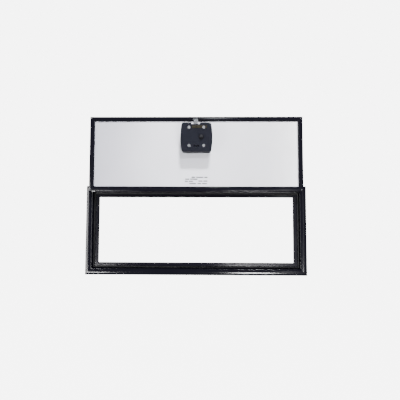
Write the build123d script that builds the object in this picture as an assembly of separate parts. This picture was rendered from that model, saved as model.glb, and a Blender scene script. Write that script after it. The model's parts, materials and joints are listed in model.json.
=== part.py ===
"""Top-hinged window sash in a clamp-in wall frame, with a rack-and-pinion crank operator.

Axes: X across the window, +Y into the wall, +Z up; millimetres.
Depths are set out from the plane of the frame flange's outer face. Each part is moved back by
the frame depth as it is written, so the origin is the centre of the frame on its rear clamping
plane. The sash is drawn swung fully up, with the operator hanging down its room-side face.
"""
import os
from math import acos, atan2, cos, pi, radians, sin, sqrt, tan

from build123d import *

os.makedirs("parts", exist_ok=True)

# ---------------------------------------------------------------- driving dimensions
FRAME_W = 640.0            # frame, outside of the flange
FRAME_H = 257.0
MITRE_REACH = 60.0         # how far the mitre cutting blocks reach in from the outer edge

FLANGE_W = 16.6            # flat width of the flange before the bead
FLANGE_EDGE = 1.0          # depth of the flange's outer lip behind the set-out plane
FLANGE_CROWN = -0.8        # crown of the convex flange face
FLANGE_BACK = 2.6          # seating face of the flange on the wall skin
BEAD_R = 1.4               # round bead on the flange's inner edge
BEAD_U = 17.2
BEAD_Y = 1.2
LEG_U = (16.6, 18.2)       # through-wall leg
LEG_END = 28.0
FLOOR_Y = (13.0, 14.6)     # floor of the seal channel
LEDGE_U = (23.6, 32.7)     # stop ledge the closed sash backs onto
LEDGE_Y = (10.0, 15.6)
LEDGE_WALL = 1.5
BOSS_U = (18.2, 25.6)      # screw boss along the rear of the leg
BOSS_Y = (20.0, 28.0)
PILOT_U = 22.0
PILOT_R = 1.6
PILOT_X = (260.0, 87.0)    # half spacings of the two hole rectangles

BULB_R = 2.0               # bulb seal in the channel
BULB_BORE_R = 1.2
BULB_U = 20.9
BULB_Y = 8.8
SEAL_FOOT_U = (18.5, 23.3)
SEAL_FOOT_Y = (10.9, 13.0)

SASH_W = 602.0
SASH_H = 211.0
SASH_T = 11.0
RAIL_W = 12.0              # face width of the sash rails and stiles
RAIL_CROWN = 0.9           # rise of the convex room-side face
RAIL_SKIN = 1.6
GROOVE_V = 5.4             # glazing groove starts this far in from the sash edge
GROOVE_D = (2.4, 9.4)      # and runs between these depths
KEY_CHAMBER_V = (1.6, 4.2)
GLASS_T = 4.0
GLASS_INSET = 7.0
GLASS_D = 4.2              # depth of the glass below the room-side crown
GASKET_LIP = 0.6

SASH_FACE_Y = -24.5        # room-side crown of the sash when swung up
SASH_LOW_Z = 112.6         # its hinge-side edge when swung up
HINGE_Y = -9.0             # hinge axis
HINGE_Z = 111.0
KNUCKLE_R = 3.0
ROD_R = 1.2
ROD_RUN = 0.05             # radial running clearance on the rod
HINGE_LEN = 570.0
KNUCKLES = 9
KNUCKLE_GAP = 0.6
LEAF_T = 1.5
WEB_Z = (112.0, 114.0)
LEAF_TOP_Z = 125.0
RIVET_X = (60.0, 160.0, 250.0)
CAP_T = 2.0

BAR_W = 12.0               # rack bar over the teeth
BAR_T = 5.0
BAR_Y = -48.7              # mid-thickness of the bar, and the clevis pin
PIN_Z = 303.5
PIN_R = 1.5
EYE_R = 4.0
EYE_W = 8.6
BAR_END_Z = 217.5
TEETH_TOP_Z = 276.0
LUG_T = 1.5
LUG_IN = 4.6               # inner half width of the clevis
TAB_T = 1.5
TAB_TOP_Z = 319.6
TAB_SCREW_Z = 315.6
TAB_HEAD = (2.9, 1.6)      # radius, height

MODULE = 0.8
PRESSURE = radians(25.0)
ADDENDUM = 0.8 * MODULE
DEDENDUM = 1.05 * MODULE
BACKLASH = 0.12
PINION_Z = 12
WHEEL_Z = 24
PINION_RP = MODULE * PINION_Z / 2.0
WHEEL_RP = MODULE * WHEEL_Z / 2.0
RACK_PITCH_X = 5.36        # pitch line of the rack, right of the bar's centre line

BOX_X = 2.0                # operator box centre, right of the bar's centre line
BOX_Z = 253.8
BOX_H = 78.0
BOX_W_END = 78.0           # width at the top and bottom
BOX_W_MID = 85.4           # width across the bulged middle
BOX_CORNER_R = 7.0
BOX_FRONT = -60.0
BOX_WALL = 2.6
BOX_EDGE_R = 2.2
BOX_SKIRT = -43.0          # rear rim of the cover
GASKET_T = 1.0
PLATE_T = 2.0
NOTCH_W = 23.4             # notch over the bar in the top of the box
NOTCH_D = 3.6
BAR_CLEAR = 0.15
SCREW_DX = 19.5
SCREW_Z = (230.5, 279.3)
SCREW_R = 2.0
SCREW_HEAD = (4.0, 2.6)
POST_R = 3.4
SOCKET_DX = 4.0            # two locating holes low on the cover
SOCKET_Z = 229.1
SOCKET_R = 2.6
SPINDLE_X = 14.7
SPINDLE_Z = 253.5
STUB_R = 3.9               # splined stub a handle is pushed onto
STUB_END = -68.0
STUB_ROOT = -60.9
FRONT_R = 4.2              # front journal
SPLINES = 8
SPLINE_R = 0.3
REAR_R = 3.0
COLLAR_R = 5.4
AXLE_R = 2.0
RUN = 0.05                 # radial running clearance of the gears and spindle
WHEEL_Y = (-56.4, -52.4)
STRAP_X = (-10.0, 30.0)
STRAP_Z = (277.4, 285.0)
STRAP_T = 0.8

# ---------------------------------------------------------------- derived positions
SASH_MID_Z = SASH_LOW_Z + SASH_H / 2.0
SASH_TOP_Z = SASH_LOW_Z + SASH_H
SASH_BACK_Y = SASH_FACE_Y + SASH_T
PLATE_FRONT = BOX_SKIRT + GASKET_T
PLATE_BACK = PLATE_FRONT + PLATE_T
IDLER_X = RACK_PITCH_X + PINION_RP
IDLER_DX = SPINDLE_X - IDLER_X
IDLER_DZ = sqrt((PINION_RP + WHEEL_RP) ** 2 - IDLER_DX ** 2)
IDLER_Z = SPINDLE_Z + IDLER_DZ
BAR_FRONT = BAR_Y - BAR_T / 2.0
BAR_BACK = BAR_Y + BAR_T / 2.0


# ---------------------------------------------------------------- helpers
def block(x0, x1, y0, y1, z0, z1):
    """A box between two corners."""
    centre = ((x0 + x1) / 2.0, (y0 + y1) / 2.0, (z0 + z1) / 2.0)
    return Pos(*centre) * Box(abs(x1 - x0), abs(y1 - y0), abs(z1 - z0))


def rod_x(x0, x1, y, z, r):
    """A cylinder along X."""
    return Pos((x0 + x1) / 2.0, y, z) * Rot(0, 90, 0) * Cylinder(r, abs(x1 - x0))


def rod_y(y0, y1, x, z, r):
    """A cylinder along Y."""
    return Pos(x, (y0 + y1) / 2.0, z) * Rot(90, 0, 0) * Cylinder(r, abs(y1 - y0))


def area(u0, u1, d0, d1):
    """A rectangle in the section plane of an extrusion."""
    return Pos((u0 + u1) / 2.0, (d0 + d1) / 2.0) * Rectangle(u1 - u0, d1 - d0)


def slab(sketch, y0, y1):
    """Extrude an outline drawn in X and Z from depth y0 to depth y1."""
    plane = Plane(origin=(0, y1, 0), x_dir=(1, 0, 0), z_dir=(0, -1, 0))
    return extrude(plane * sketch, amount=y1 - y0)


def side_plane(side, half_w, half_h, y, zc):
    """Section plane of one side of a rectangular loop: x inward, y into the wall."""
    places = {
        "top": ((0, y, zc + half_h), (0, 0, -1), (1, 0, 0)),
        "bottom": ((0, y, zc - half_h), (0, 0, 1), (-1, 0, 0)),
        "left": ((-half_w, y, zc), (1, 0, 0), (0, 0, 1)),
        "right": ((half_w, y, zc), (-1, 0, 0), (0, 0, -1)),
    }
    origin, inward, along = places[side]
    return Plane(origin=origin, x_dir=inward, z_dir=along)


def mitre_block(side, half_w, half_h, zc):
    """The 45-degree region one side of a rectangular loop is cut to."""
    m = MITRE_REACH
    x0, x1, z0, z1 = -half_w, half_w, zc - half_h, zc + half_h
    loops = {
        "top": [(x0, z1), (x1, z1), (x1 - m, z1 - m), (x0 + m, z1 - m)],
        "bottom": [(x0, z0), (x1, z0), (x1 - m, z0 + m), (x0 + m, z0 + m)],
        "left": [(x0, z0), (x0, z1), (x0 + m, z1 - m), (x0 + m, z0 + m)],
        "right": [(x1, z0), (x1, z1), (x1 - m, z1 - m), (x1 - m, z0 + m)],
    }
    return slab(make_face(Polyline(*loops[side], close=True)), -100.0, 100.0)


def mitred(section, side, half_w, half_h, y, zc):
    """One mitred length of an extrusion."""
    length = half_w if side in ("top", "bottom") else half_h
    bar = extrude(side_plane(side, half_w, half_h, y, zc) * section, amount=length, both=True)
    return bar & mitre_block(side, half_w, half_h, zc)


def loop_of(section, half_w, half_h, y, zc):
    """A closed rectangular loop of one section, joined at the mitres."""
    sides = [mitred(section, s, half_w, half_h, y, zc) for s in ("top", "bottom", "left", "right")]
    return sides[0] + sides[1] + sides[2] + sides[3]


# ---------------------------------------------------------------- wall frame
def frame_section():
    """Convex flange, bead, through-wall leg, seal channel, stop ledge and screw boss."""
    crown = ThreePointArc((0, FLANGE_EDGE), (FLANGE_W / 2, FLANGE_CROWN), (FLANGE_W, FLANGE_EDGE))
    rest = Polyline((FLANGE_W, FLANGE_EDGE), (FLANGE_W, FLANGE_BACK), (0, FLANGE_BACK), (0, FLANGE_EDGE))
    flange = make_face(Wire([crown] + rest.edges()))
    bead = Pos(BEAD_U, BEAD_Y) * Circle(BEAD_R)
    leg = area(LEG_U[0], LEG_U[1], BEAD_Y, LEG_END)
    floor = area(LEG_U[0], LEDGE_U[0] + LEDGE_WALL, FLOOR_Y[0], FLOOR_Y[1])
    ledge = area(LEDGE_U[0], LEDGE_U[1], LEDGE_Y[0], LEDGE_Y[1])
    chamber = area(LEDGE_U[0] + LEDGE_WALL, LEDGE_U[1] - LEDGE_WALL,
                   LEDGE_Y[0] + LEDGE_WALL, LEDGE_Y[1] - LEDGE_WALL)
    boss = area(BOSS_U[0], BOSS_U[1], BOSS_Y[0], BOSS_Y[1])
    return (flange + bead + leg + floor + ledge + boss) - chamber


def frame_member(side):
    """One side of the wall frame; head and sill carry the rear pilot holes."""
    member = mitred(frame_section(), side, FRAME_W / 2, FRAME_H / 2, 0.0, 0.0)
    if side in ("top", "bottom"):
        z = FRAME_H / 2 - PILOT_U
        if side == "bottom":
            z = -z
        for half in PILOT_X:
            for x in (-half, half):
                member -= rod_y(BOSS_Y[0] - 1.0, LEG_END + 1.0, x, z, PILOT_R)
    return member


def frame_corner_keys():
    """Four L keys pushed into the ledge chambers across the mitres."""
    u0 = LEDGE_U[0] + LEDGE_WALL + 0.1
    u1 = LEDGE_U[1] - LEDGE_WALL - 0.1
    y0 = LEDGE_Y[0] + LEDGE_WALL + 0.1
    y1 = LEDGE_Y[1] - LEDGE_WALL - 0.1
    reach = 26.0
    keys = []
    for sx in (-1, 1):
        for sz in (-1, 1):
            xo, xi, xr = [sx * (FRAME_W / 2 - v) for v in (u0, u1, u0 + reach)]
            zo, zi, zr = [sz * (FRAME_H / 2 - v) for v in (u0, u1, u0 + reach)]
            keys.append(block(xo, xr, y0, y1, zo, zi) + block(xo, xi, y0, y1, zo, zr))
    return Compound(children=[k.solids()[0] for k in keys])


def frame_seal():
    """Bulb seal running round the channel between leg and ledge."""
    foot = area(SEAL_FOOT_U[0], SEAL_FOOT_U[1], SEAL_FOOT_Y[0], SEAL_FOOT_Y[1])
    neck = area(BULB_U - 0.8, BULB_U + 0.8, BULB_Y + BULB_BORE_R + 0.2, SEAL_FOOT_Y[0] + 0.2)
    bulb = Pos(BULB_U, BULB_Y) * (Circle(BULB_R) - Circle(BULB_BORE_R))
    return loop_of(foot + neck + bulb, FRAME_W / 2, FRAME_H / 2, 0.0, 0.0)


# ---------------------------------------------------------------- hinge
def knuckle_spans(first):
    """Start and end of every second knuckle along the hinge."""
    pitch = HINGE_LEN / KNUCKLES
    spans = []
    for i in range(first, KNUCKLES, 2):
        x0 = -HINGE_LEN / 2 + i * pitch + KNUCKLE_GAP / 2
        spans.append((x0, x0 + pitch - KNUCKLE_GAP))
    return spans


def hinge_leaf_frame():
    """Leaf riveted to the head's flange, with five stand-off knuckles."""
    face = FLANGE_CROWN
    leaf = block(-HINGE_LEN / 2, HINGE_LEN / 2, face - LEAF_T, face, WEB_Z[0], LEAF_TOP_Z)
    for x0, x1 in knuckle_spans(0):
        leaf += block(x0, x1, HINGE_Y, face, WEB_Z[0], WEB_Z[1])
        leaf += rod_x(x0, x1, HINGE_Y, HINGE_Z, KNUCKLE_R)
    leaf -= rod_x(-HINGE_LEN, HINGE_LEN, HINGE_Y, HINGE_Z, ROD_R)
    for x in RIVET_X:
        for s in (-1, 1):
            leaf -= rod_y(-10.0, 10.0, s * x, 119.5, 1.5)
    return leaf


def hinge_leaf_sash():
    """Leaf riveted to the outer face of the sash's hinge rail, with four knuckles."""
    face = SASH_BACK_Y
    leaf = block(-HINGE_LEN / 2, HINGE_LEN / 2, face, face + LEAF_T, SASH_LOW_Z, LEAF_TOP_Z - 1.0)
    for x0, x1 in knuckle_spans(1):
        leaf += block(x0, x1, face, HINGE_Y, WEB_Z[0], WEB_Z[1])
        leaf += rod_x(x0, x1, HINGE_Y, HINGE_Z, KNUCKLE_R)
    leaf -= rod_x(-HINGE_LEN, HINGE_LEN, HINGE_Y, HINGE_Z, ROD_R + ROD_RUN)
    for x in RIVET_X:
        for s in (-1, 1):
            leaf -= rod_y(face - 5.0, face + 5.0, s * x, 120.5, 1.5)
    return leaf


def hinge_rod():
    """Stainless rod through all nine knuckles."""
    return rod_x(-HINGE_LEN / 2 - 2.0, HINGE_LEN / 2 + 2.0, HINGE_Y, HINGE_Z, ROD_R)


def hinge_end_caps():
    """Caps that keep the rod in at both ends."""
    caps = []
    for s in (-1, 1):
        x0 = s * (HINGE_LEN / 2 + 0.1)
        cap = rod_x(x0, x0 + s * (CAP_T + 1.5), HINGE_Y, HINGE_Z, KNUCKLE_R)
        caps.append(cap - rod_x(x0, s * (HINGE_LEN / 2 + 2.0), HINGE_Y, HINGE_Z, ROD_R))
    return Compound(children=[c.solids()[0] for c in caps])


def domed_rivet(y_head, y_tail, x, z):
    """Rivet along Y with a low domed head at y_head's outer side."""
    s = 1.0 if y_tail > y_head else -1.0
    head = rod_y(y_head - s * 0.8, y_head, x, z, 2.4)
    head = fillet(head.faces().sort_by(Axis.Y)[0 if s > 0 else -1].edges(), 0.6)
    return head + rod_y(y_head, y_tail, x, z, 1.5)


def hinge_rivets_frame():
    """Six rivets through the frame leaf into the flange."""
    y0 = FLANGE_CROWN - LEAF_T
    rivets = [domed_rivet(y0, FLANGE_CROWN, s * x, 119.5) for x in RIVET_X for s in (-1, 1)]
    return Compound(children=[r.solids()[0] for r in rivets])


def hinge_rivets_sash():
    """Six rivets through the sash leaf into the hinge rail."""
    y0 = SASH_BACK_Y + LEAF_T
    rivets = [domed_rivet(y0, SASH_BACK_Y, s * x, 120.5) for x in RIVET_X for s in (-1, 1)]
    return Compound(children=[r.solids()[0] for r in rivets])


# ---------------------------------------------------------------- sash
def rail_section():
    """Tubular rail with a convex room-side face and a glazing groove."""
    crown = ThreePointArc((0, RAIL_CROWN), (RAIL_W / 2, 0), (RAIL_W, RAIL_CROWN))
    rest = Polyline((RAIL_W, RAIL_CROWN), (RAIL_W, SASH_T), (0, SASH_T), (0, RAIL_CROWN))
    body = make_face(Wire([crown] + rest.edges()))
    groove = area(GROOVE_V, RAIL_W + 1.0, GROOVE_D[0], GROOVE_D[1])
    chamber = area(KEY_CHAMBER_V[0], KEY_CHAMBER_V[1], GROOVE_D[0], GROOVE_D[1])
    return body - groove - chamber


def sash_member(side):
    """One mitred rail or stile of the sash."""
    member = mitred(rail_section(), side, SASH_W / 2, SASH_H / 2, SASH_FACE_Y, SASH_MID_Z)
    if side == "top":
        member -= rod_y(SASH_FACE_Y - 1.0, SASH_FACE_Y + GROOVE_D[0] + 1.0, 0.0, TAB_SCREW_Z, 1.6)
    for x, z in corner_rivet_spots():
        member -= rod_y(SASH_FACE_Y - 1.0, SASH_FACE_Y + GROOVE_D[0] + 1.0, x, z, 1.0)
    return member


def corner_rivet_spots():
    """Rivet centres on the four mitre lines."""
    inset = 4.9
    spots = []
    for sx in (-1, 1):
        for z in (SASH_LOW_Z + inset, SASH_TOP_Z - inset):
            spots.append((sx * (SASH_W / 2 - inset), z))
    return spots


def sash_corner_keys():
    """Four L keys in the key chambers across the mitres."""
    v0 = KEY_CHAMBER_V[0] + 0.1
    v1 = KEY_CHAMBER_V[1] - 0.1
    y0 = SASH_FACE_Y + GROOVE_D[0] + 0.1
    y1 = SASH_FACE_Y + GROOVE_D[1] - 0.1
    reach = 22.0
    keys = []
    for sx in (-1, 1):
        for sz in (-1, 1):
            xo, xi, xr = [sx * (SASH_W / 2 - v) for v in (v0, v1, v0 + reach)]
            zo, zi, zr = [SASH_MID_Z + sz * (SASH_H / 2 - v) for v in (v0, v1, v0 + reach)]
            key = block(xo, xr, y0, y1, zo, zi) + block(xo, xi, y0, y1, zo, zr)
            keys.append(key.solids()[0])
    return Compound(children=keys)


def sash_corner_rivets():
    """A small rivet on each mitre of the room-side face."""
    rivets = []
    for x, z in corner_rivet_spots():
        head = rod_y(SASH_FACE_Y - 0.8, SASH_FACE_Y, x, z, 1.9)
        head = fillet(head.faces().sort_by(Axis.Y)[0].edges(), 0.6)
        rivet = head + rod_y(SASH_FACE_Y, SASH_FACE_Y + GROOVE_D[0], x, z, 1.0)
        rivets.append(rivet.solids()[0])
    return Compound(children=rivets)


def glass_pane():
    """Tempered pane with eased corners."""
    w = SASH_W - 2 * GLASS_INSET
    h = SASH_H - 2 * GLASS_INSET
    y0 = SASH_FACE_Y + GLASS_D
    return slab(Pos(0, SASH_MID_Z) * RectangleRounded(w, h, 2.0), y0, y0 + GLASS_T)


def glazing_gasket():
    """U gasket round the edge of the pane, with a lip showing past the rail."""
    outer = area(GROOVE_V + 0.05, RAIL_W + GASKET_LIP, GROOVE_D[0] + 0.05, GROOVE_D[1] - 0.05)
    pocket = area(GLASS_INSET, RAIL_W + 2.0, GLASS_D, GLASS_D + GLASS_T)
    return loop_of(outer - pocket, SASH_W / 2, SASH_H / 2, SASH_FACE_Y, SASH_MID_Z) - glass_pane()


# ---------------------------------------------------------------- bracket and rack
def bracket():
    """Clevis bracket: a tab on the free rail and two lugs out to the pin."""
    outer = LUG_IN + LUG_T
    tab = Pos(0, (TAB_TOP_Z + 298.5) / 2) * Rectangle(2 * outer, TAB_TOP_Z - 298.5)
    tab = fillet(tab.vertices().sort_by(Axis.Y)[-2:], outer - 0.2)
    body = slab(tab, SASH_FACE_Y - TAB_T, SASH_FACE_Y)
    for s in (-1, 1):
        cheek = Plane(origin=(s * (LUG_IN + LUG_T / 2), 0, 0), x_dir=(0, 1, 0), z_dir=(1, 0, 0))
        nose = Pos(BAR_Y, PIN_Z) * Circle(5.0)
        arm = area(BAR_Y, SASH_FACE_Y, PIN_Z - 5.0, PIN_Z + 5.0)
        body += extrude(cheek * (nose + arm), amount=LUG_T / 2, both=True)
    body -= rod_x(-10.0, 10.0, BAR_Y, PIN_Z, PIN_R)
    body -= rod_y(SASH_FACE_Y - 5.0, SASH_FACE_Y + 1.0, 0.0, TAB_SCREW_Z, 1.6)
    return body


def bracket_screw():
    """Pan-head screw through the tab into the free rail."""
    y0 = SASH_FACE_Y - TAB_T
    head = rod_y(y0 - TAB_HEAD[1], y0, 0.0, TAB_SCREW_Z, TAB_HEAD[0])
    head = fillet(head.faces().sort_by(Axis.Y)[0].edges(), 1.0)
    for w, h in ((3.0, 0.7), (0.7, 3.0)):
        head -= block(-w / 2, w / 2, y0 - TAB_HEAD[1] - 0.5, y0 - 0.9, TAB_SCREW_Z - h / 2, TAB_SCREW_Z + h / 2)
    return head + rod_y(y0, SASH_FACE_Y + GROOVE_D[0], 0.0, TAB_SCREW_Z, 1.6)


def bracket_pin():
    """Headed clevis pin with a staked tail."""
    outer = LUG_IN + LUG_T
    pin = rod_x(-outer - 1.0, outer + 1.0, BAR_Y, PIN_Z, PIN_R)
    pin += rod_x(-outer - 1.2, -outer, BAR_Y, PIN_Z, 2.5)
    return pin + rod_x(outer, outer + 1.0, BAR_Y, PIN_Z, 2.1)


def rack_bar():
    """Flat bar with an eye at the top and a rack cut along its right edge."""
    tip = RACK_PITCH_X + ADDENDUM
    root = RACK_PITCH_X - DEDENDUM
    left = tip - BAR_W
    plain = Pos((left + tip) / 2, (TEETH_TOP_Z + 297.0) / 2) * Rectangle(BAR_W, 297.0 - TEETH_TOP_Z)
    toothed = Pos((left + root) / 2, (BAR_END_Z + TEETH_TOP_Z) / 2)
    toothed = toothed * Rectangle(root - left, TEETH_TOP_Z - BAR_END_Z)
    sketch = plain + toothed
    pitch = pi * MODULE
    half = (pitch / 2 - BACKLASH) / 2
    z = IDLER_Z + pitch / 2
    while z + pitch < TEETH_TOP_Z:
        z += pitch
    while z - pitch / 2 > BAR_END_Z:
        wide = half + DEDENDUM * tan(PRESSURE)
        slim = half - ADDENDUM * tan(PRESSURE)
        tooth = Polyline((root, z - wide), (tip, z - slim), (tip, z + slim), (root, z + wide), close=True)
        sketch += make_face(tooth)
        z -= pitch
    bar = slab(sketch, BAR_FRONT, BAR_BACK)
    bar += block(-EYE_W / 2, EYE_W / 2, BAR_FRONT, BAR_BACK, 296.5, PIN_Z)
    bar += rod_x(-EYE_W / 2, EYE_W / 2, BAR_Y, PIN_Z, EYE_R)
    return bar - rod_x(-10.0, 10.0, BAR_Y, PIN_Z, PIN_R + RUN)


# ---------------------------------------------------------------- gears
def involute_gear(teeth, phase):
    """Outline of a spur gear, one tooth centred at angle phase (radians)."""
    rp = MODULE * teeth / 2.0
    rb = rp * cos(PRESSURE)
    ra = rp + ADDENDUM
    rf = rp - DEDENDUM
    inv_p = tan(PRESSURE) - PRESSURE
    half_p = (pi * MODULE / 2 - BACKLASH) / 2 / rp

    def half_angle(r):
        """Half the tooth's angular width at radius r."""
        a = acos(min(1.0, rb / r))
        return half_p + inv_p - (tan(a) - a)

    start = max(rb, rf)
    radii = [start + (ra - start) * k / 5.0 for k in range(6)]
    points = []
    for i in range(teeth):
        mid = phase + 2 * pi * i / teeth
        flank = [(r, half_angle(r)) for r in radii]
        if rf < rb:
            flank = [(rf, half_angle(start))] + flank
        for r, h in flank:
            points.append((r * cos(mid - h), r * sin(mid - h)))
        for r, h in reversed(flank):
            points.append((r * cos(mid + h), r * sin(mid + h)))
    return make_face(Polyline(*points, close=True))


def idler_gear():
    """Compound gear: wheel driven by the spindle, pinion driving the rack."""
    to_spindle = atan2(-IDLER_DZ, IDLER_DX)
    wheel = Pos(IDLER_X, IDLER_Z) * involute_gear(WHEEL_Z, to_spindle)
    pinion = Pos(IDLER_X, IDLER_Z) * involute_gear(PINION_Z, pi)
    gear = slab(wheel, WHEEL_Y[0], WHEEL_Y[1]) + slab(pinion, WHEEL_Y[1], BAR_BACK + 0.3)
    gear += rod_y(BAR_BACK + 0.3, PLATE_FRONT - 0.3, IDLER_X, IDLER_Z, 3.4)
    return gear - rod_y(-80.0, -30.0, IDLER_X, IDLER_Z, AXLE_R + RUN)


def spindle():
    """Splined stub, journals, drive pinion and collar in one turned shaft."""
    away = atan2(IDLER_DZ, -IDLER_DX)
    pinion = Pos(SPINDLE_X, SPINDLE_Z) * involute_gear(PINION_Z, away + pi / PINION_Z)
    shaft = slab(pinion, WHEEL_Y[0] - 0.4, WHEEL_Y[1] + 0.3)
    shaft += rod_y(STUB_END, STUB_ROOT, SPINDLE_X, SPINDLE_Z, STUB_R)
    shaft += rod_y(STUB_ROOT, WHEEL_Y[0] - 0.4, SPINDLE_X, SPINDLE_Z, FRONT_R)
    shaft += rod_y(WHEEL_Y[1] + 0.3, WHEEL_Y[1] + 1.3, SPINDLE_X, SPINDLE_Z, COLLAR_R)
    shaft += rod_y(WHEEL_Y[1] + 1.3, PLATE_BACK - 0.4, SPINDLE_X, SPINDLE_Z, REAR_R)
    for i in range(SPLINES):
        a = 2 * pi * i / SPLINES
        x = SPINDLE_X + STUB_R * cos(a)
        z = SPINDLE_Z + STUB_R * sin(a)
        shaft -= rod_y(STUB_END - 1.0, STUB_ROOT, x, z, SPLINE_R)
    shaft -= rod_y(STUB_END - 1.0, STUB_END + 8.0, SPINDLE_X, SPINDLE_Z, 1.25)
    return shaft


def idler_axle():
    """Headed axle riveted in the back plate."""
    axle = rod_y(BOX_FRONT + BOX_WALL + 0.2, PLATE_BACK, IDLER_X, IDLER_Z, AXLE_R)
    return axle + rod_y(PLATE_BACK, PLATE_BACK + 1.0, IDLER_X, IDLER_Z, 3.4)


# ---------------------------------------------------------------- operator box
def box_outline(shrink=0.0):
    """Bulged rounded rectangle with a notch over the bar, every side moved in by shrink."""
    he = BOX_W_END / 2 - shrink
    hm = BOX_W_MID / 2 - shrink
    hh = BOX_H / 2 - shrink
    right = ThreePointArc((he, -hh), (hm, 0), (he, hh))
    left = ThreePointArc((-he, hh), (-hm, 0), (-he, -hh))
    top = Line((he, hh), (-he, hh))
    bottom = Line((-he, -hh), (he, -hh))
    face = make_face(Wire([right, top, left, bottom]))
    face = fillet(face.vertices(), BOX_CORNER_R - shrink)
    notch_w = NOTCH_W + 2 * shrink
    notch = Pos(-BOX_X, hh - NOTCH_D + 10.0) * Rectangle(notch_w, 20.0)
    return Pos(BOX_X, BOX_Z) * (face - notch)


def screw_spots():
    """Centres of the four cover screws."""
    return [(BOX_X + s * SCREW_DX, z) for s in (-1, 1) for z in SCREW_Z]


def operator_cover():
    """Moulded cover: rounded front edge, screw posts, locating holes and bearing hole."""
    shell = slab(box_outline(), BOX_FRONT, BOX_SKIRT)
    rim = shell.faces().filter_by(Plane.XZ).sort_by(Axis.Y)[0].edges()
    shell = fillet(rim, BOX_EDGE_R)
    cavity = slab(box_outline(BOX_WALL), BOX_FRONT + BOX_WALL, BOX_SKIRT + 1.0)
    shell -= cavity
    for x, z in screw_spots():
        shell += rod_y(BOX_FRONT + BOX_WALL - 0.5, PLATE_FRONT, x, z, POST_R)
    for x, z in screw_spots():
        shell -= rod_y(BOX_FRONT - 1.0, PLATE_FRONT + 1.0, x, z, SCREW_R)
    for s in (-1, 1):
        shell -= rod_y(BOX_FRONT - 1.0, BOX_FRONT + BOX_WALL + 1.0, BOX_X + s * SOCKET_DX, SOCKET_Z, SOCKET_R)
    shell -= rod_y(BOX_FRONT - 1.0, BOX_FRONT + BOX_WALL + 1.0, SPINDLE_X, SPINDLE_Z, 6.0)
    x_mid = RACK_PITCH_X + ADDENDUM - BAR_W / 2
    half = BAR_W / 2 + BAR_CLEAR
    z_floor = BOX_Z + BOX_H / 2 - NOTCH_D
    slot = block(x_mid - half, x_mid + half, BAR_FRONT - BAR_CLEAR, BOX_SKIRT + 1.0,
                 z_floor - BOX_WALL - 1.0, z_floor + 1.0)
    return shell - slot


def cover_gasket():
    """Thin gasket between cover rim and back plate, open at the bar."""
    return slab(box_outline(0.2) - box_outline(BOX_WALL), BOX_SKIRT, PLATE_FRONT)


def operator_back_plate():
    """Steel plate closing the rear of the box."""
    plate = slab(box_outline(0.2), PLATE_FRONT, PLATE_BACK)
    for x, z in screw_spots():
        plate -= rod_y(-80.0, -30.0, x, z, SCREW_R)
    for x, z in guide_rivet_spots():
        plate -= rod_y(-80.0, -30.0, x, z, 1.5)
    plate -= rod_y(-80.0, -30.0, IDLER_X, IDLER_Z, AXLE_R)
    return plate - rod_y(-80.0, -30.0, SPINDLE_X, SPINDLE_Z, 4.5)


def cover_screws():
    """Four cross-recess pan-head screws."""
    screws = []
    for x, z in screw_spots():
        seat = BOX_FRONT
        if STRAP_X[0] < x < STRAP_X[1] and STRAP_Z[0] < z < STRAP_Z[1]:
            seat = BOX_FRONT - STRAP_T
        top = seat - SCREW_HEAD[1]
        head = rod_y(top, seat, x, z, SCREW_HEAD[0])
        head = fillet(head.faces().sort_by(Axis.Y)[0].edges(), 1.8)
        for w, h in ((4.2, 0.9), (0.9, 4.2)):
            head -= block(x - w / 2, x + w / 2, top - 0.5, top + 1.2, z - h / 2, z + h / 2)
        screws.append((head + rod_y(seat, PLATE_BACK + 0.6, x, z, SCREW_R)).solids()[0])
    return Compound(children=screws)


def guide_strap():
    """Thin passivated strip across the top of the cover, under one screw head."""
    strap = block(STRAP_X[0], STRAP_X[1], BOX_FRONT - STRAP_T, BOX_FRONT, STRAP_Z[0], STRAP_Z[1])
    strap = fillet(strap.edges().filter_by(Axis.Y), 1.5)
    strap -= rod_y(-80.0, -30.0, BOX_X + SCREW_DX, SCREW_Z[1], SCREW_R)
    return strap - rod_y(-80.0, -30.0, 2.0, 281.0, 1.1)


def rack_guide_upper():
    """Acetal block the bar slides through below the notch."""
    z1 = BOX_Z + BOX_H / 2 - NOTCH_D - BOX_WALL - 0.2
    guide = block(-12.0, 12.0, -55.0, PLATE_FRONT, z1 - 5.0, z1)
    x_mid = RACK_PITCH_X + ADDENDUM - BAR_W / 2
    half = BAR_W / 2 + 0.1
    guide -= block(x_mid - half, x_mid + half, BAR_FRONT - 0.1, BAR_BACK + 0.1, z1 - 8.0, z1 + 3.0)
    for x, z in guide_rivet_spots()[:2]:
        guide -= rod_y(PLATE_FRONT - 3.0, PLATE_FRONT + 1.0, x, z, 1.5)
    return guide


def rack_guide_side():
    """Acetal guide backing the bar opposite the pinion."""
    left = RACK_PITCH_X + ADDENDUM - BAR_W
    side = block(left - 5.0, left - 0.1, -54.0, PLATE_FRONT, 240.0, 274.0)
    floor = block(left - 5.0, 4.0, BAR_BACK + 0.1, PLATE_FRONT, 240.0, 274.0)
    guide = side + floor
    for x, z in guide_rivet_spots()[2:]:
        guide -= rod_y(PLATE_FRONT - 3.0, PLATE_FRONT + 1.0, x, z, 1.5)
    return guide


def guide_rivet_spots():
    """Rivet centres: two in the upper guide, two in the side guide."""
    z1 = BOX_Z + BOX_H / 2 - NOTCH_D - BOX_WALL - 2.7
    return [(-9.0, z1), (9.0, z1), (-8.0, 245.0), (-8.0, 269.0)]


def guide_rivets():
    """Four rivets holding the guides to the back plate."""
    rivets = []
    for x, z in guide_rivet_spots():
        rivets.append(domed_rivet(PLATE_BACK, PLATE_FRONT - 2.8, x, z).solids()[0])
    return Compound(children=rivets)


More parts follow.
